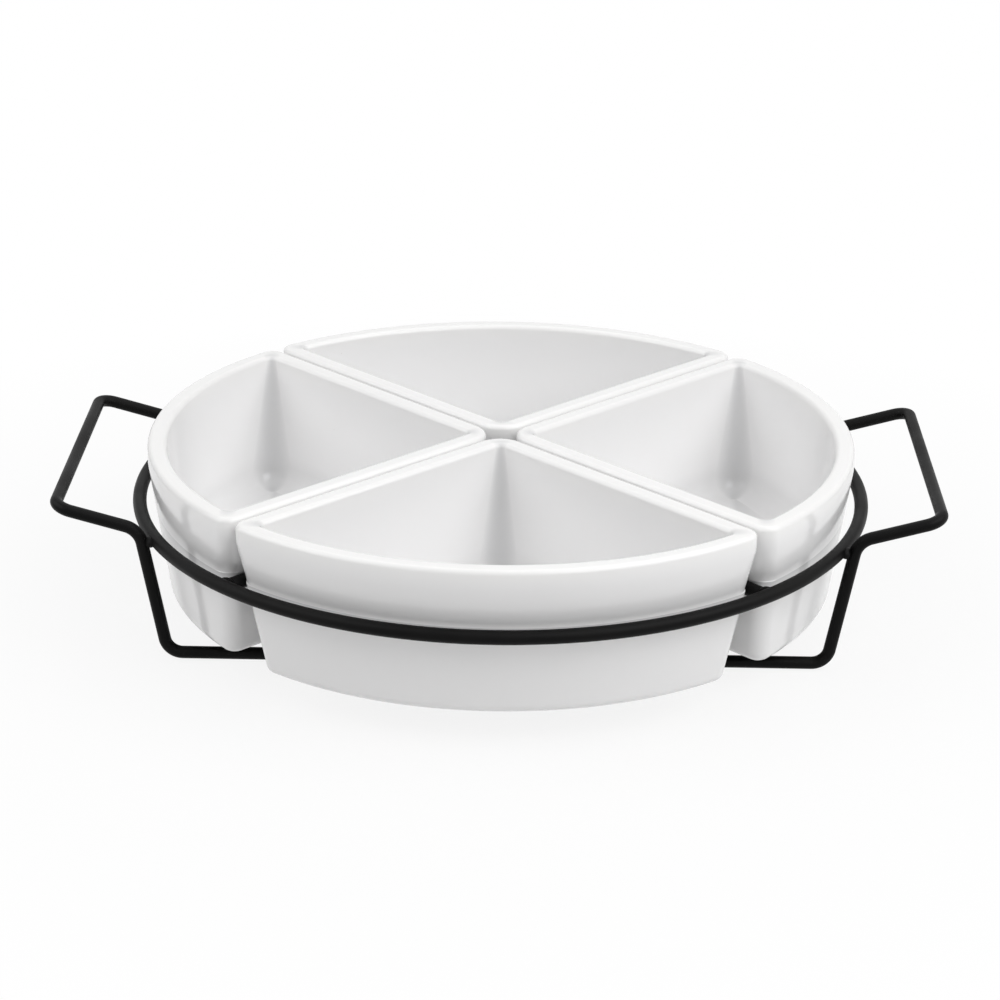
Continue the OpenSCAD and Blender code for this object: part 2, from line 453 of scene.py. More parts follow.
def keep_mesh(bm: BMesh, name: str, materials: Iterable[bpy.types.Material]) -> bpy.types.Mesh:
    """Turns a bmesh into a mesh.

    Args:
        bm: The finished bmesh. It is freed.
        name: The mesh's name.
        materials: Its materials, in slot order.

    Returns:
        The mesh.
    """
    mesh = bpy.data.meshes.new(name)
    bm.to_mesh(mesh)
    bm.free()
    for material in materials:
        mesh.materials.append(material)
    return mesh


def number_by_place(bm: BMesh) -> None:
    """Numbers the vertices by where they lie, and edges and faces by their vertices.

    Extruding and spinning number them differently on each run, though the shape is the same.

    Args:
        bm: The finished bmesh.
    """
    by_place = sorted(bm.verts, key=lambda vert: vert.co.to_tuple())
    rank = {vert: number for number, vert in enumerate(by_place)}
    bm.verts.sort(key=rank.__getitem__)
    for parts in (bm.edges, bm.faces):
        in_order = sorted(parts, key=lambda part: sorted(rank[vert] for vert in part.verts))
        place = {part: number for number, part in enumerate(in_order)}
        parts.sort(key=place.__getitem__)


def show_piece(
    bm: BMesh, name: str, node: str, body: str, materials: Iterable[bpy.types.Material]
) -> bpy.types.Object:
    """Turns a bmesh into a piece that stands for one CAD node.

    Args:
        bm: The finished bmesh, in place. It is freed.
        name: The piece's name.
        node: The CAD node that it replaces.
        body: The CAD body that it rides on.
        materials: The piece's materials, in slot order.

    Returns:
        The new object.
    """
    bmesh.ops.recalc_face_normals(bm, faces=bm.faces)
    number_by_place(bm)
    for face in bm.faces:
        face.smooth = True
    for edge in bm.edges:
        edge.smooth = edge.calc_face_angle(0.0) < SHARP_ANGLE
    piece = add_object(name, keep_mesh(bm, name, materials))
    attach(piece, body)
    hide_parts(node)
    LOG.info("%s: %d faces, rides on %s", name, len(piece.data.polygons), body)
    return piece


class WireBender:
    """Draws round wire as one tube: straight lengths are extruded and bends are spun.

    Its frame lies at the tube's open end. The wire runs along the frame's +Z and
    bends towards its +X.
    """

    SEGMENTS = 28
    CHAMFER = 0.35 * MM
    BEND_STEP = math.radians(5)
    FEWEST_BEND_STEPS = 2

    def __init__(self, bm: BMesh, radius: float, frame_at_end: Matrix) -> None:
        """Starts the wire with a chamfered end.

        Args:
            bm: The bmesh to draw in.
            radius: The wire's radius.
            frame_at_end: The frame at the wire's first end.
        """
        self.bm = bm
        self.radius = radius
        self.at = frame_at_end.copy()
        disc = bmesh.ops.create_circle(
            bm,
            cap_ends=True,
            segments=self.SEGMENTS,
            radius=radius - self.CHAMFER,
            matrix=self.at,
        )
        self.ring = list({edge for vert in disc["verts"] for edge in vert.link_edges})
        self._step(self.CHAMFER, radius / (radius - self.CHAMFER))

    def _step(self, length: float, growth: float = 1.0) -> None:
        """Extrudes the open end along the wire and scales it.

        Args:
            length: How far it goes.
            growth: How much wider it gets.
        """
        made = bmesh.ops.extrude_edge_only(self.bm, edges=self.ring)["geom"]
        verts = [item for item in made if isinstance(item, BMVert)]
        new = set(verts)
        edges = (item for item in made if isinstance(item, BMEdge))
        self.ring = [edge for edge in edges if new.issuperset(edge.verts)]
        if growth != 1.0:
            bmesh.ops.scale(
                self.bm, vec=(growth, growth, 1.0), space=self.at.inverted(), verts=verts
            )
        bmesh.ops.translate(self.bm, vec=self.at.to_3x3() @ Vector((0, 0, length)), verts=verts)
        self.at = self.at @ Matrix.Translation((0, 0, length))

    def straight(self, length: float, steps: int) -> None:
        """Draws a straight length.

        Args:
            length: Its length.
            steps: How many rings it has.
        """
        for _ in range(steps):
            self._step(length / steps)

    def bend(self, radius: float, turn: float, roll: float = 0.0) -> None:
        """Draws a round bend.

        Args:
            radius: The bend's radius, to the middle of the wire.
            turn: The angle that it turns through.
            roll: The turn about the wire before it, which aims the bend.
        """
        self.at = self.at @ Matrix.Rotation(roll, 4, "Z")
        rotation = self.at.to_3x3()
        spun = bmesh.ops.spin(
            self.bm,
            geom=self.ring,
            cent=self.at @ Vector((radius, 0, 0)),
            axis=rotation @ Vector((0, 1, 0)),
            angle=turn,
            steps=max(self.FEWEST_BEND_STEPS, math.ceil(turn / self.BEND_STEP)),
            use_merge=False,
        )
        last = [item for item in spun["geom_last"] if isinstance(item, BMVert)]
        ends = set(last)
        self.ring = list({e for v in last for e in v.link_edges if ends.issuperset(e.verts)})
        pivot = Matrix.Translation((radius, 0, 0))
        self.at = self.at @ pivot @ Matrix.Rotation(turn, 4, "Y") @ pivot.inverted()

    def finish(self) -> None:
        """Closes the wire with a chamfered end."""
        self._step(self.CHAMFER, (self.radius - self.CHAMFER) / self.radius)
        bmesh.ops.contextual_create(self.bm, geom=self.ring)


@dataclass
class Rack:
    """The wire rack: hoop, crossing wires, two bent frame wires and their welds."""

    coat: bpy.types.Material
    frame_wire_r: float = 2.25 * MM
    leg_angle: float = math.radians(79.5)
    handle_rise: float = math.radians(15.5)
    shoulder_touch: float = math.radians(10)
    foot_bend_r: float = 6.5 * MM
    shoulder_bend_r: float = 8 * MM
    grip_bend_r: float = 6 * MM
    weld_gap: float = 0.1 * MM
    weld_r: float = 3.3 * MM
    bead_fullness: float = 0.93
    bead_ripple: float = 0.015
    bead_ripple_turn: float = 9
    bead_lump: float = 0.05
    bead_lump_scale: float = 1.3
    bead_subdivisions: int = 4
    hoop_bead_width: float = 0.64
    cross_end_bead_width: float = 0.9
    cross_end_bead_rise: float = 1 / 3
    cross_centre_bead_width: float = 0.85
    cross_centre_bead_out: float = 0.5 * MM
    runner_bead_width: float = 0.9
    runner_bead_flat_z: float = 0.5 * MM
    hoop_steps: int = 240
    cross_steps: int = 12
    frame_steps: int = 4
    body: str = "rack"
    wire_r: float = field(init=False)
    hoop_r: float = field(init=False)
    hoop_z: float = field(init=False)
    cross_z: float = field(init=False)
    leg_y: float = field(init=False)
    grip_x: float = field(init=False)

    def __post_init__(self) -> None:
        """Reads the rack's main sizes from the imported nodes."""
        low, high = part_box("cross_wire_long")
        self.wire_r = (high.z - low.z) / 2
        self.cross_z = (high.z + low.z) / 2
        low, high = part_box("hoop")
        self.hoop_r = high.x - self.wire_r
        self.hoop_z = (high.z + low.z) / 2
        low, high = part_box("frame_wire_right")
        self.leg_y = high.y - self.frame_wire_r
        self.grip_x = high.x - self.frame_wire_r

    def _piece(self, bm: BMesh, node: str) -> bpy.types.Object:
        """Shows one coated piece in place of its CAD node."""
        return show_piece(bm, f"{node}_coated", node, self.body, [self.coat])

    def build_hoop(self) -> None:
        """Spins the hoop from one circle of wire."""
        bm = bmesh.new()
        upright = Matrix.Translation((self.hoop_r, 0, self.hoop_z)) @ Matrix.Rotation(QUARTER, 4, "X")
        disc = bmesh.ops.create_circle(
            bm, cap_ends=False, segments=WireBender.SEGMENTS, radius=self.wire_r, matrix=upright
        )
        circle = list({edge for vert in disc["verts"] for edge in vert.link_edges})
        bmesh.ops.spin(
            bm,
            geom=circle,
            cent=(0, 0, 0),
            axis=UP,
            angle=math.tau,
            steps=self.hoop_steps,
            use_merge=True,
        )
        self._piece(bm, "hoop")

    def build_cross_wires(self) -> None:
        """Draws the long crossing wire and the two short ones that butt against it."""
        outer = self.hoop_r - self.wire_r - self.weld_gap
        inner = self.wire_r + self.weld_gap
        spans = {
            "cross_wire_long": (45, -outer, outer),
            "cross_wire_short_left": (135, inner, outer),
            "cross_wire_short_right": (-45, inner, outer),
        }
        for node, (turn, start, end) in spans.items():
            bm = bmesh.new()
            along = Matrix.Rotation(math.radians(turn), 4, "Z") @ Matrix.Rotation(QUARTER, 4, "Y")
            begin = Matrix.Translation((0, 0, self.cross_z)) @ along @ Matrix.Translation((0, 0, start))
            wire = WireBender(bm, self.wire_r, begin)
            wire.straight(end - start - 2 * WireBender.CHAMFER, self.cross_steps)
            wire.finish()
            self._piece(bm, node)

    def _touch(self) -> tuple[Vector, Vector, float]:
        """Works out where a shoulder touches the hoop, in the leg's upright plane.

        Returns:
            The hoop's middle, the direction from it to the shoulder, and the distance
            between the two wires' middles along that. Both vectors are (x, z).
        """
        hoop_at_leg = Vector((math.sqrt(self.hoop_r**2 - self.leg_y**2), self.hoop_z))
        outward = Vector((math.cos(self.shoulder_touch), -math.sin(self.shoulder_touch)))
        slant = hoop_at_leg.x / self.hoop_r
        apart = self.wire_r + self.frame_wire_r + self.weld_gap
        return hoop_at_leg, outward, apart / Vector((outward.x * slant, outward.y)).length

    def _shoulder_corner(self) -> Vector:
        """Works out where the lines of leg and handle meet, as (x, z).

        Returns:
            The corner that the shoulder's bend rounds off.
        """
        hoop_at_leg, outward, apart = self._touch()
        centre = hoop_at_leg + outward * (apart + self.shoulder_bend_r)
        rise = Vector((math.cos(self.handle_rise), math.sin(self.handle_rise)))
        leg = Vector((math.cos(self.leg_angle), math.sin(self.leg_angle)))
        turn = self.leg_angle - self.handle_rise
        return centre - (rise - leg).normalized() * self.shoulder_bend_r / math.cos(turn / 2)

    def build_frame_wires(self) -> None:
        """Bends each frame wire: runner, leg, handle and back again."""
        corner = self._shoulder_corner()
        turn = self.leg_angle - self.handle_rise
        leg_length = (corner.y - self.frame_wire_r) / math.sin(self.leg_angle)
        foot_x = corner.x - leg_length * math.cos(self.leg_angle)
        side_length = (self.grip_x - corner.x) / math.cos(self.handle_rise)
        foot_cut = self.foot_bend_r * math.tan(self.leg_angle / 2)
        shoulder_cut = self.shoulder_bend_r * math.tan(turn / 2)
        runner = foot_x - self.weld_gap / 2 - foot_cut - WireBender.CHAMFER
        leg = leg_length - foot_cut - shoulder_cut
        side = side_length - shoulder_cut - self.grip_bend_r
        grip = 2 * (self.leg_y - self.grip_bend_r)
        # Each stretch is a straight length, then a bend's radius, its turn, and its roll in degrees.
        runs = (
            (runner, self.foot_bend_r, self.leg_angle, 0),
            (leg, self.shoulder_bend_r, turn, 180),
            (side, self.grip_bend_r, QUARTER, 90),
            (grip, self.grip_bend_r, QUARTER, 0),
            (side, self.shoulder_bend_r, turn, -90),
            (leg, self.foot_bend_r, self.leg_angle, 180),
        )
        for node, mirrored in (("frame_wire_right", False), ("frame_wire_left", True)):
            bm = bmesh.new()
            begin = (
                Matrix.Translation((self.weld_gap / 2, -self.leg_y, self.frame_wire_r))
                @ Matrix.Rotation(QUARTER, 4, "Y")
                @ Matrix.Rotation(math.pi, 4, "Z")
            )
            wire = WireBender(bm, self.frame_wire_r, begin)
            for length, radius, angle, roll in runs:
                wire.straight(length, self.frame_steps)
                wire.bend(radius, angle, math.radians(roll))
            wire.straight(runner, self.frame_steps)
            wire.finish()
            if mirrored:
                bmesh.ops.scale(bm, vec=(-1, 1, 1), verts=bm.verts)
            self._piece(bm, node)

    def _bead(self, bm: BMesh, at: Vector, along: Vector, width: float, seed: float) -> None:
        """Adds one weld bead: a small ball with ripples along it and uneven lumps.

        Args:
            bm: The bmesh to add it to.
            at: Its middle.
            along: The direction that it was laid in.
            width: Its width over its length.
            seed: Where in the noise its lumps come from.
        """
        turn = along.to_track_quat("X", "Z").to_matrix().to_4x4()
        shape = Matrix.Diagonal((1.0, width, width, 1.0))
        ball = bmesh.ops.create_icosphere(
            bm, subdivisions=self.bead_subdivisions, radius=self.weld_r
        )
        for vert in ball["verts"]:
            ripple = self.bead_ripple * math.cos(vert.co.x / self.weld_r * self.bead_ripple_turn)
            spot = vert.co / self.weld_r * self.bead_lump_scale + Vector((seed, 0, 0))
            vert.co *= self.bead_fullness + ripple + self.bead_lump * noise.noise(spot)
        bmesh.ops.transform(bm, matrix=Matrix.Translation(at) @ turn @ shape, verts=ball["verts"])

    def build_hoop_welds(self) -> None:
        """Adds the four beads where the shoulders touch the hoop."""
        hoop_at_leg, outward, apart = self._touch()
        touch = hoop_at_leg + outward * apart / 2
        bm = bmesh.new()
        for x in (-1, 1):
            for y in (-1, 1):
                tangent = Vector((-y * self.leg_y, x * hoop_at_leg.x, 0)).normalized()
                at = Vector((x * touch.x, y * self.leg_y, touch.y))
                seed = BeadNoise.HOOP.value + 2 * x + y
                self._bead(bm, at, tangent, self.hoop_bead_width, seed)
        self._piece(bm, "hoop_welds")

    def build_cross_end_welds(self) -> None:
        """Adds the four beads where the crossing wires end at the hoop."""
        bm = bmesh.new()
        outer = self.hoop_r - self.wire_r - self.weld_gap
        for k in range(4):
            turn = HALF_SECTOR + k * QUARTER
            ray = Vector((math.cos(turn), math.sin(turn), 0))
            rise = (self.hoop_z - self.cross_z) * self.cross_end_bead_rise
            at = ray * outer + UP * (self.cross_z + rise)
            seed = BeadNoise.CROSS_ENDS.value + k
            self._bead(bm, at, ray.cross(UP), self.cross_end_bead_width, seed)
        self._piece(bm, "cross_end_welds")

    def build_cross_centre_welds(self) -> None:
        """Adds the two beads where the short crossing wires meet the long one."""
        bm = bmesh.new()
        for side in (-1, 1):
            ray = Vector((-math.sin(HALF_SECTOR), math.cos(HALF_SECTOR), 0)) * side
            at = ray * (self.wire_r + self.cross_centre_bead_out) + UP * self.cross_z
            seed = BeadNoise.CROSS_CENTRE.value + side
            self._bead(bm, at, ray.cross(UP), self.cross_centre_bead_width, seed)
        self._piece(bm, "cross_centre_welds")

    def build_runner_welds(self) -> None:
        """Adds the beads at the runners' butt joints, cut flat above the table."""
        bm = bmesh.new()
        for side in (-1, 1):
            at = Vector((0, side * self.leg_y, self.frame_wire_r))
            seed = BeadNoise.RUNNERS.value + side
            self._bead(bm, at, Vector((1, 0, 0)), self.runner_bead_width, seed)
        ground = Vector((0, 0, self.runner_bead_flat_z))
        everything = list(bm.verts) + list(bm.edges) + list(bm.faces)
        cut = bmesh.ops.bisect_plane(
            bm, geom=everything, plane_co=ground, plane_no=-UP, clear_outer=True
        )
        rims = [item for item in cut["geom_cut"] if isinstance(item, BMEdge)]
        bmesh.ops.edgenet_fill(bm, edges=rims)
        self._piece(bm, "runner_welds")

    def build(self) -> None:
        """Builds the whole rack."""
        self.build_hoop()
        self.build_cross_wires()
        self.build_frame_wires()
        self.build_hoop_welds()
        self.build_cross_end_welds()
        self.build_cross_centre_welds()
        self.build_runner_welds()


@dataclass(frozen=True)
class Station:
    """One level of a dish's skin.

    Attributes:
        z: Height above the dish's foot.
        side_in: Inset of the two straight sides from the rim's outline.
        outer_in: Inset of the outer arc.
        corner: Radius of the two outer corners.
        apex: Radius of the corner at the rack's centre.
        crease: How much painted shade, in the pooled glaze's darker colour, gathers in the corners
            here, from 0 to 1.
        thin: How thin the glaze runs here, from 0 to 1.
        pool: How darkly pooled glaze and painted shade colour the skin here, from 0 to 1.
        zone: Finish of the skin from the station before up to this one.
    """

    z: float
    side_in: float
    outer_in: float
    corner: float
    apex: float
    # crease and pool paint shade into the glaze's colour; pool also stands for pooled glaze.
    crease: float = 0.0
    thin: float = 0.0
    pool: float = 0.0
    zone: Zone = Zone.GLAZE


class OutlinePen:
    """Draws a closed outline with straight extrusions and spun arcs."""

    def __init__(self, bm: BMesh, start: Vector) -> None:
        """Puts the pen down.

        Args:
            bm: The bmesh to draw in.
            start: Where the outline starts.
        """
        self.bm = bm
        self.first = self.tip = bm.verts.new(start)
        self.straight: list[BMEdge] = []
        self.curved: list[BMEdge] = []
        self.bends: list[list[BMVert]] = []

    def arc(self, centre: Vector, turn: float, steps: int) -> None:
        """Spins the pen about a centre.

        Args:
            centre: The arc's centre.
            turn: The angle to spin through, anticlockwise.
            steps: How many edges the arc gets.
        """
        spun = bmesh.ops.spin(
            self.bm, geom=[self.tip], cent=centre, axis=UP, angle=turn, steps=steps, use_merge=False
        )
        last = next(item for item in spun["geom_last"] if isinstance(item, BMVert))
        walker, edge, bend = last, None, [last]
        while walker is not self.tip:
            edge = next(other for other in walker.link_edges if other is not edge)
            self.curved.append(edge)
            walker = edge.other_vert(walker)
            bend.append(walker)
        self.bends.append(bend)
        self.tip = last

    def line(self, end: Vector) -> None:
        """Draws a straight line.

        Args:
            end: Where it ends.
        """
        made = bmesh.ops.extrude_vert_indiv(self.bm, verts=[self.tip])
        self.straight.append(made["edges"][0])
        self.tip = made["verts"][0]
        self.tip.co = end

    def close(self) -> None:
        """Draws the last straight line, back to the start."""
        self.straight.append(self.bm.edges.new((self.tip, self.first)))

    @property
    def edges(self) -> list[BMEdge]:
        """Gives everything that was drawn."""
        return self.straight + self.curved


@dataclass
class DishMould:
    """The shape that all four dishes share: a collar, a tapered body and a shallow foot."""

    rim_gap: float = 2 * MM
    band_h: float = 6 * MM
    body_h: float = 34 * MM
    wall_taper: float = math.radians(8)
    collar_taper: float = math.radians(2)
    rim_wall: float = 7 * MM
    inner_taper: float = math.radians(7)
    floor_t: float = 6 * MM
    foot_h: float = 1.2 * MM
    foot_w: float = 5 * MM
    corner_r: float = 5.5 * MM
    apex_r: float = 10 * MM
    inner_rim_corner_r: float = 2.6 * MM
    inner_floor_corner_r: float = 10 * MM
    floor_r: float = 8 * MM
    bottom_edge_r: float = 4 * MM
    rim_outer_r: float = 1.8 * MM
    rim_inner_r: float = 2 * MM
    ledge_edge_r: float = 0.7 * MM
    ledge_fillet_r: float = 0.5 * MM
    ledge_fall: float = 0.1 * MM
    ledge_fade: float = 2.0
    # Painted shade: the pool and crease values below darken the foot's recess, the fillet under the
    # ledge, the inner floor and the inner corners; on the inner floor they also stand for pooled glaze.
    foot_pool: float = 0.6
    ledge_pool: float = 1.0
    ledge_thin: float = 0.5
    rim_thin: float = 1.0
    lip_crease: float = 0.7
    floor_pool: float = 0.15
    floor_crease: float = 1.0
    arc_steps: int = 60
    corner_steps: int = 12
    side_steps: int = 16
    round_steps: int = 7
    wall_steps: int = 8
    rim_r: float = field(init=False)
    bottom_z: float = field(init=False)
    height: float = field(init=False)

    def __post_init__(self) -> None:
        """Reads the dish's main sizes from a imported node."""
        low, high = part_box("dish_right")
        self.rim_r = high.x
        self.bottom_z = low.z
        self.height = high.z - low.z

    def wall_inset(self, z: float) -> float:
        """Gives the inset of the tapered outside at a height."""
        return (self.height - self.band_h - z) * math.tan(self.wall_taper)

    def inner_inset(self, z: float) -> float:
        """Gives the inset of the tapered inside at a height."""
        return self.rim_wall + (self.height - self.rim_inner_r - z) * math.tan(self.inner_taper)

    def _level(
        self, z: float, inset: float, corner: float, apex: float, **extra: float | Zone
    ) -> Station:
        """Gives a station with the same inset all round."""
        return Station(z, inset, inset, corner, apex, **extra)

    def _sweep(
        self, centre: tuple[float, float], radius: float, sweep: tuple[float, float]
    ) -> Iterator[tuple[float, float]]:
        """Steps along a rounding.

        Args:
            centre: Height and inset of its centre.
            radius: Its radius.
            sweep: Its first and last angle, in degrees.

        Yields:
            The height and inset of each of its stations, in order.
        """
        for i in range(self.round_steps + 1):
            angle = math.radians(sweep[0] + (sweep[1] - sweep[0]) * i / self.round_steps)
            yield centre[0] + radius * math.sin(angle), centre[1] + radius * math.cos(angle)

    def _rounded(
        self,
        centre: tuple[float, float],
        radius: float,
        sweep: tuple[float, float],
        edge_in: float,
        corner: tuple[float, float],
        **extra: float,
    ) -> list[Station]:
        """Stations along an edge that is rounded all the way round the dish.

        Args:
            centre: Height and inset of the rounding's centre.
            radius: Its radius.
            sweep: Its first and last angle, in degrees.
            edge_in: The inset at which the corners have the given radii.
            corner: Radius of the outer corners and of the apex there.
            **extra: How the glaze lies on it.

        Returns:
            The stations, in order.
        """
        stations = []
        for z, inset in self._sweep(centre, radius, sweep):
            drawn = inset - edge_in
            stations.append(self._level(z, inset, corner[0] - drawn, corner[1] - drawn, **extra))
        return stations

    def _side_station(self, z: float, side_in: float, **extra: float) -> Station:
        """Gives a station whose straight sides are set in less than its outer arc."""
        outer_in = self.wall_inset(z)
        corner = self.corner_r + self.ledge_fade * (outer_in - side_in)
        return Station(z, side_in, outer_in, corner, self.apex_r, **extra)

    def _ledge(
        self, centre: tuple[float, float], radius: float, sweep: tuple[float, float], **extra: float
    ) -> list[Station]:
        """Stations along a rounded stretch of the ledge that the straight sides have.

        Args:
            centre: Height and inset of the rounding's centre.
            radius: Its radius.
            sweep: Its first and last angle, in degrees.
            **extra: How the glaze lies on it.

        Returns:
            The stations, in order.
        """
        points = self._sweep(centre, radius, sweep)
        return [self._side_station(z, inset, **extra) for z, inset in points]

    def _between(self, low: Station, high: Station) -> list[Station]:
        """Stations spread evenly between two, both left out.

        Args:
            low: The first station.
            high: The last station.

        Returns:
            The stations between them.
        """
        names = ("z", "side_in", "outer_in", "corner", "apex", "crease")
        ends = [(getattr(low, name), getattr(high, name)) for name in names]
        shares = (k / self.wall_steps for k in range(1, self.wall_steps))
        return [Station(*(a + (b - a) * share for a, b in ends)) for share in shares]

    def profile(self) -> list[Station]:
        """Lists the skin's stations.

        Returns:
            The stations: under the foot, up the outside, over the rim and down the inside.
        """
        bottom_in = self.wall_inset(self.bottom_edge_r)
        foot_in = bottom_in + self.bottom_edge_r + self.foot_w
        outer = (self.corner_r, self.apex_r)
        inner_rim = (self.inner_rim_corner_r,) * 2
        inner_floor = (self.inner_floor_corner_r,) * 2
        hollow_top = self.height - self.rim_inner_r
        fillet_top = self.floor_t + self.floor_r
        fillet_in = self.inner_inset(fillet_top)
        ledge_z = self.body_h - self.ledge_fall - self.ledge_fillet_r
        ledge_in = self.wall_inset(ledge_z) - self.ledge_fillet_r
        collar_h = self.height - self.body_h
        collar_in = (collar_h - self.band_h) * math.tan(self.collar_taper)

        # The foot's recess, the fillet under the ledge, the inner floor's fillet and the inner corners
        # get painted shade.
        foot = [
            self._level(self.foot_h, foot_in + self.foot_h, *outer, pool=self.foot_pool),
            self._level(0, foot_in, *outer),
            self._level(0, bottom_in + self.bottom_edge_r, *outer, zone=Zone.BARE_CLAY),
        ]
        bottom = self._rounded(
            (self.bottom_edge_r, bottom_in + self.bottom_edge_r),
            self.bottom_edge_r,
            (270, 180),
            bottom_in,
            outer,
        )
        fillet = self._ledge(
            (ledge_z, ledge_in), self.ledge_fillet_r, (0, 90), pool=self.ledge_pool
        )
        ledge = self._ledge(
            (self.body_h + self.ledge_edge_r, collar_in + self.ledge_edge_r),
            self.ledge_edge_r,
            (270, 180),
            thin=self.ledge_thin,
        )
        band = [self._level(self.height - self.band_h, 0, *outer)]
        rim = self._rounded(
            (self.height - self.rim_outer_r, self.rim_outer_r),
            self.rim_outer_r,
            (180, 90),
            0,
            outer,
            thin=self.rim_thin,
        )
        lip = self._rounded(
            (hollow_top, self.rim_wall - self.rim_inner_r),
            self.rim_inner_r,
            (90, 0),
            self.rim_wall,
            inner_rim,
            thin=self.rim_thin,
            crease=self.lip_crease,
        )
        floor = self._rounded(
            (fillet_top, fillet_in + self.floor_r),
            self.floor_r,
            (180, 270),
            fillet_in,
            inner_floor,
            pool=self.floor_pool,
            crease=self.floor_crease,
        )
        return [
            *foot,
            *bottom[1:],
            *self._between(bottom[-1], fillet[0]),
            *fillet,
            *ledge,
            *self._between(ledge[-1], band[0]),
            *band,
            *rim,
            *lip,
            *self._between(lip[-1], floor[0]),
            *floor,
        ]

    def _outline(self, bm: BMesh, station: Station) -> OutlinePen:
        """Draws one station's outline, for a dish that points along +X.

        Args:
            bm: The bmesh to draw in.
            station: The station.

        Returns:
            The pen, with the outline's edges.
        """
        side = self.rim_gap / 2 + station.side_in
        reach = self.rim_r - station.outer_in - station.corner
        bend = HALF_SECTOR - math.asin((side + station.corner) / reach)
        level = UP * station.z
        apex = Vector(((side + station.apex) / math.sin(HALF_SECTOR), 0, station.z))
        low = Vector((math.cos(bend), -math.sin(bend), 0)) * reach + level
        high = Vector((low.x, -low.y, station.z))
        out_low = Vector((-math.sin(HALF_SECTOR), -math.cos(HALF_SECTOR), 0))
        out_high = Vector((out_low.x, -out_low.y, 0))
        pen = OutlinePen(bm, apex + out_high * station.apex)
        pen.arc(apex, QUARTER, self.corner_steps)
        pen.line(low + out_low * station.corner)
        pen.arc(low, QUARTER + HALF_SECTOR - bend, self.corner_steps)
        pen.arc(level, 2 * bend, self.arc_steps)
        pen.arc(high, QUARTER + HALF_SECTOR - bend, self.corner_steps)
        pen.close()
        return pen

    @staticmethod
    def _lay_glaze(bm: BMesh, station: Station, pen: OutlinePen) -> None:
        """Writes how the glaze and its painted shade lie on one outline. The painted shade gathers
        towards the middle of each corner.

        Args:
            bm: The bmesh that holds the outline.
            station: The outline's station.
            pen: The pen that drew it.
        """
        thin = bm.verts.layers.float[THIN_LAYER]
        pool = bm.verts.layers.float[POOL_AND_SHADE_LAYER]
        for vert in {v for edge in pen.edges for v in edge.verts}:
            vert[thin] = station.thin
            vert[pool] = station.pool
        apex, low, _, high = pen.bends
        for bend in (apex, low, high):
            for i, vert in enumerate(bend):
                # Painted shade: darkest at the middle of each corner.
                corner_shade = station.crease * math.sin(math.pi * i / (len(bend) - 1))
                vert[pool] = max(station.pool, corner_shade)

    def cast(self) -> BMesh:
        """Lofts a dish through its stations and closes it.

        Returns:
            The dish, pointing along +X, with its foot at height 0.
        """
        bm = bmesh.new()
        for layer in (THIN_LAYER, POOL_AND_SHADE_LAYER):
            bm.verts.layers.float.new(layer)
        straight: list[BMEdge] = []
        previous: list[BMEdge] = []
        for station in self.profile():
            pen = self._outline(bm, station)
            self._lay_glaze(bm, station, pen)
            if previous:
                skin = bmesh.ops.bridge_loops(bm, edges=previous + pen.edges)
                for face in skin["faces"]:
                    face.material_index = station.zone.value
            else:
                bmesh.ops.contextual_create(bm, geom=pen.edges)
            previous = pen.edges
            straight += pen.straight
        bmesh.ops.contextual_create(bm, geom=previous)
        bmesh.ops.subdivide_edges(
            bm, edges=straight, cuts=self.side_steps - 1, use_grid_fill=True
        )
        bmesh.ops.recalc_face_normals(bm, faces=bm.faces)
        return bm


@dataclass(frozen=True)
class QuarterDish:
    """One dish in its place, with the slight waves of cast ware."""

    place: Place
    glaze: bpy.types.Material
    clay: bpy.types.Material
    wave_depth: float = 0.07 * MM
    wave_scale: float = 28.0

    def _wave(self, bm: BMesh, height: float) -> None:
        """Moves the skin in and out a little.

        Args:
            bm: The dish's bmesh. Its foot and the top of its rim stay level.
            height: The dish's height.
        """
        seed = Vector((0, 0, self.place.value))
        for vert in bm.verts:
            wave = self.wave_depth * noise.noise(vert.co * self.wave_scale + seed)
            level = vert.normal.z if vert.normal.z < 0 else 0.0
            vert.co += (vert.normal - UP * level) * wave
            vert.co.z = min(max(vert.co.z, 0.0), height)

    def build(self, mould: DishMould, cast: BMesh) -> None:
        """Shapes a copy of the cast dish and hangs it in its place.

        Args:
            mould: The mould.
            cast: A dish from the mould.
        """
        bm = cast.copy()
        bm.normal_update()
        self._wave(bm, mould.height)
        turn = Matrix.Rotation(math.radians(self.place.value), 4, "Z")
        matrix = Matrix.Translation((0, 0, mould.bottom_z)) @ turn
        bmesh.ops.transform(bm, matrix=matrix, verts=bm.verts)
        node = f"dish_{self.place.name.lower()}"
        show_piece(bm, f"{node}_glazed", node, node, [self.glaze, self.clay])


# Studio


def towards(azimuth: float, elevation: float) -> Vector:
    """Gives the direction from the rack to a place around it.

    Args:
        azimuth: The turn to the right from straight in front, in degrees.
        elevation: The height above the table, in degrees.

    Returns:
        A vector of length 1.
    """
    az, el = math.radians(azimuth), math.radians(elevation)
    return Vector((math.sin(az) * math.cos(el), -math.cos(az) * math.cos(el), math.sin(el)))


@dataclass(frozen=True)
class SoftBox:
    """One large, soft area lamp that faces the middle of the rack."""

    name: str
    azimuth: float
    elevation: float
    distance: float
    size: tuple[float, float]
    power: float

    def build(self, aim: Vector) -> None:
        """Adds the lamp.

        Args:
            aim: The point that it faces.
        """
        lamp = bpy.data.lights.new(self.name, "AREA")
        lamp.shape = "RECTANGLE"
        lamp.size, lamp.size_y = self.size
        lamp.energy = self.power
        away = towards(self.azimuth, self.elevation)
        holder = add_object(self.name, lamp)
        holder.location = aim + away * self.distance
        holder.rotation_euler = away.to_track_quat("Z", "Y").to_euler()


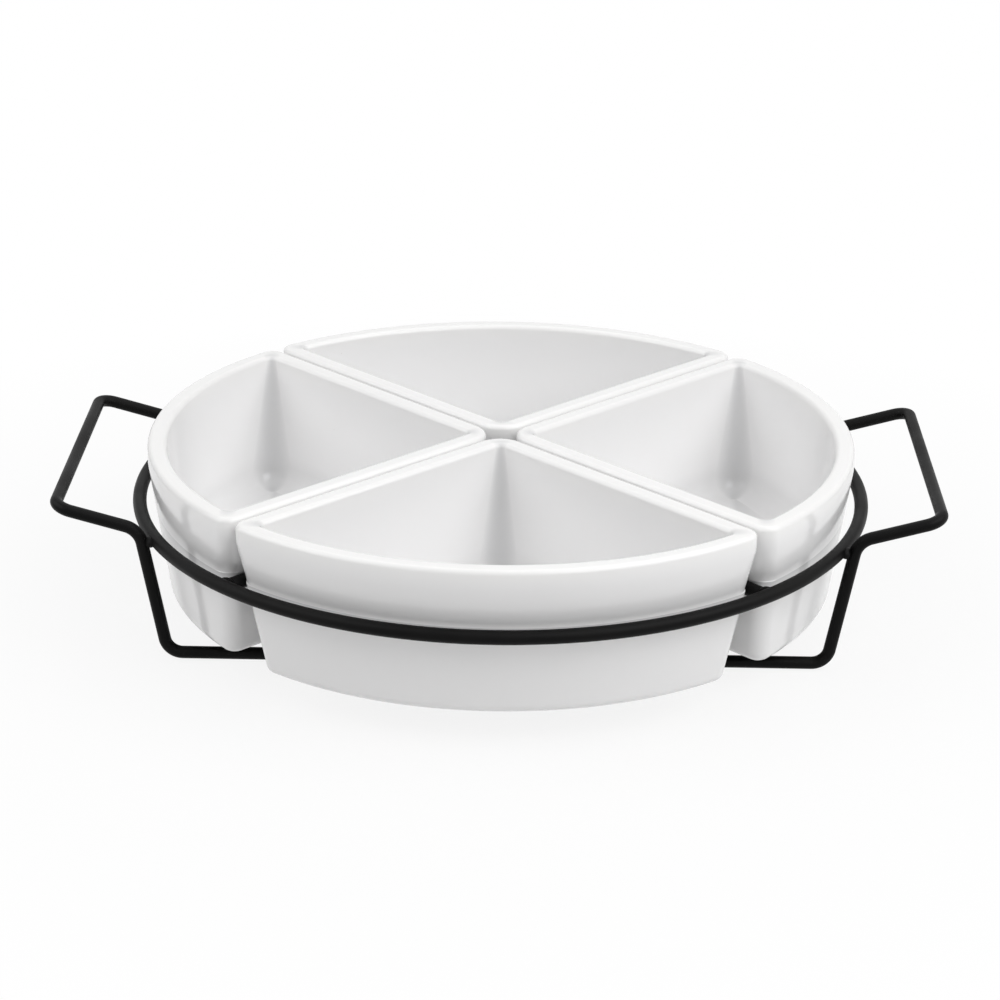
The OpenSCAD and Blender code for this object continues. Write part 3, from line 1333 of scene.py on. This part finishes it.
@dataclass(frozen=True)
class Studio:
    """White room, soft boxes and the camera. Angles are in degrees, the lens in millimetres."""

    ambient: float = 0.14
    floor_radius: float = 14.0
    floor_sides: int = 64
    floor_colour: Colour = (0.82, 0.82, 0.82, 1.0)
    shadow_share: float = 0.13
    shadow_reach: tuple[float, float] = (0.16, 0.34)
    soft_boxes: tuple[SoftBox, ...] = (
        SoftBox("right_box", 57, 40, 1.3, (1.6, 0.9), 11.2),
        SoftBox("left_box", -75, 36, 1.3, (1.3, 0.9), 7.2),
        SoftBox("upper_right_box", 72, 64, 1.3, (1.4, 1.2), 4.3),
        SoftBox("upper_left_box", -70, 64, 1.3, (1.3, 1.2), 1.6),
        SoftBox("rear_box", 180, 62, 1.4, (1.4, 0.9), 3.2),
    )
    azimuth: float = 0.88
    elevation: float = 22.0
    roll: float = 0.61
    distance: float = 1.0720
    focal_length: float = 103.8
    sensor: float = 36.0
    view_depth: float = 56.0
    look_at: tuple[float, float, float] = (-0.0002, 0.0, 0.0405)

    @staticmethod
    def _seen(board: Board) -> Socket:
        """Tells rays that see the background from rays that carry light.

        Args:
            board: The material's or world's board.

        Returns:
            A value of 1 for camera, glossy and transmission rays, and otherwise 0.
        """
        path = board.add("ShaderNodeLightPath")
        glossy = board.math("ADD", path.outputs["Is Camera Ray"], path.outputs["Is Glossy Ray"])
        return board.math("ADD", glossy, path.outputs["Is Transmission Ray"], clamp=True)

    def build_world(self) -> None:
        """Makes a world that shows as white and lights at the ambient level."""
        world = bpy.data.worlds.new("white_room")
        world.use_nodes = True
        world.node_tree.nodes.clear()
        board = Board(world.node_tree)
        light = board.add("ShaderNodeBackground", {"Color": WHITE, "Strength": self.ambient})
        shown = board.add("ShaderNodeBackground", {"Color": WHITE, "Strength": 1.0})
        mixed = board.add(
            "ShaderNodeMixShader", {0: self._seen(board), 1: light.outputs[0], 2: shown.outputs[0]}
        )
        board.add("ShaderNodeOutputWorld", {"Surface": mixed.outputs[0]})
        bpy.context.scene.world = world

    def build_floor(self) -> None:
        """Lays a round floor that shows as white and keeps a faint shadow near the rack."""
        material = bpy.data.materials.new("white_floor")
        material.use_nodes = True
        material.node_tree.nodes.clear()
        board = Board(material.node_tree)
        paper = board.add("ShaderNodeBsdfDiffuse", {"Color": self.floor_colour})
        shown = board.add("ShaderNodeEmission", {"Color": WHITE, "Strength": 1.0})
        place = board.add("ShaderNodeTexCoord").outputs["Object"]
        away = board.add("ShaderNodeVectorMath", {0: place}, operation="LENGTH").outputs["Value"]
        near, far = self.shadow_reach
        faded = board.add(
            "ShaderNodeMapRange",
            {"Value": away, "From Min": near, "From Max": far, "To Min": 1 - self.shadow_share},
        )
        share = board.math("MULTIPLY", self._seen(board), faded.outputs[0])
        mixed = board.add(
            "ShaderNodeMixShader", {0: share, 1: paper.outputs[0], 2: shown.outputs[0]}
        )
        board.add("ShaderNodeOutputMaterial", {"Surface": mixed.outputs[0]})
        bm = bmesh.new()
        bmesh.ops.create_circle(
            bm, cap_ends=True, segments=self.floor_sides, radius=self.floor_radius
        )
        floor = add_object("floor", keep_mesh(bm, "floor", [material]))

    def build_camera(self) -> None:
        """Sets up the camera in front of the rack, looking down at it."""
        roll = math.radians(self.roll)
        back = towards(self.azimuth, self.elevation)
        level_right = UP.cross(back).normalized()
        level_up = back.cross(level_right)
        right = level_right * math.cos(roll) + level_up * math.sin(roll)
        up = level_up * math.cos(roll) - level_right * math.sin(roll)
        lens = bpy.data.cameras.new("camera")
        lens.lens = self.focal_length
        lens.sensor_width = self.sensor
        lens.clip_end = self.view_depth
        camera = add_object("camera", lens)
        turned = Matrix((right, up, back)).transposed().to_4x4()
        camera.matrix_world = Matrix.Translation(Vector(self.look_at) + back * self.distance) @ turned
        bpy.context.scene.camera = camera

    def build(self) -> None:
        """Builds the studio."""
        self.build_world()
        self.build_floor()
        self.build_camera()
        for box in self.soft_boxes:
            box.build(Vector(self.look_at))
        bpy.context.scene.view_settings.view_transform = "Standard"


def main() -> None:
    """Builds the studio, the rack and the four dishes."""
    logging.basicConfig(level=logging.INFO, format="%(message)s")
    Studio().build()
    effects = SharedEffects()
    Rack(BlackCoat().build(effects)).build()
    glaze = WhiteGlaze().build(effects)
    clay = BareClay().build(effects)
    mould = DishMould()
    cast = mould.cast()
    for place in Place:
        QuarterDish(place, glaze, clay).build(mould, cast)
    cast.free()


if __name__ == "__main__":
    main()
